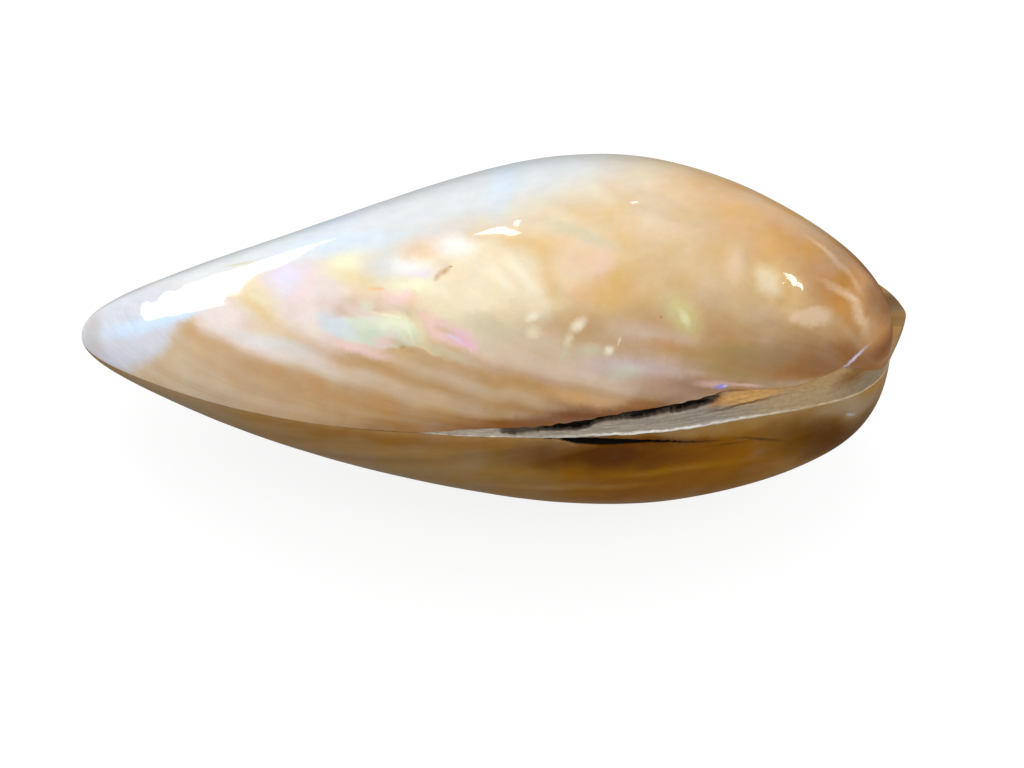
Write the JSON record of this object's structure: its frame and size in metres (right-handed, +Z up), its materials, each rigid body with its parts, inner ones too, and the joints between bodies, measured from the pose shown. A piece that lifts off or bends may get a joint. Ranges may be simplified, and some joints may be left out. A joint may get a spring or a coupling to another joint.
{
  "type": "clam shell",
  "caption": "Closed, polished bivalve shell: hollow mother-of-pearl valves, a fibrous ligament along the hinge gap, and a small flat that it rests on.",
  "frame": {"origin": "on the surface that the shell rests on, below the middle of its box", "axes": "+X along the shell towards the beaks, -Y towards the hinge, +Z up"},
  "size_m": [0.1176, 0.0572, 0.0498],
  "materials": {
    "upper_nacre": "polished mother-of-pearl, cream and tan with white, pink and green play of colour, under a clear gloss",
    "lower_nacre": "polished shell, golden brown to olive, under a clear gloss",
    "ligament_fibre": "dry grey-beige fibre with a torn black groove"
  },
  "bodies": {
    "root": {"upper_valve": "upper_nacre", "lower_valve": "lower_nacre", "ligament": "ligament_fibre"}
  },
  "joints": []
}
